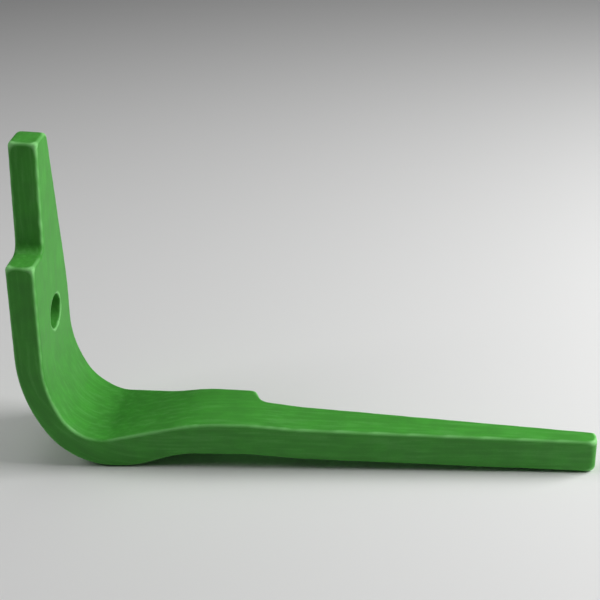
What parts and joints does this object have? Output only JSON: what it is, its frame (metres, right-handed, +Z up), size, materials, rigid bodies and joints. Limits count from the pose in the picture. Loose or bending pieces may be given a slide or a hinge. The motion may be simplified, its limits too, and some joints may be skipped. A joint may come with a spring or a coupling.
{
  "type": "harrow tine",
  "caption": "Forged L-shaped tine for a powered rotary harrow: upright mounting arm with bolt hole, shoulder and tapered tongue, wide bend, and long arched blade narrowing to a blunt tip.",
  "frame": {"origin": "on the floor below the middle of the bounding box, with the tine standing on its heel and on the tip of its blade", "axes": "+X along the blade to the tip, +Y across the tine from its straight side to its stepped side, +Z up along the mounting arm"},
  "size_m": [0.2654, 0.05, 0.1574],
  "materials": {
    "tine_paint": "green enamel with a satin gloss over a smooth forged skin"
  },
  "bodies": {
    "root": {"tine": "tine_paint"}
  },
  "joints": []
}
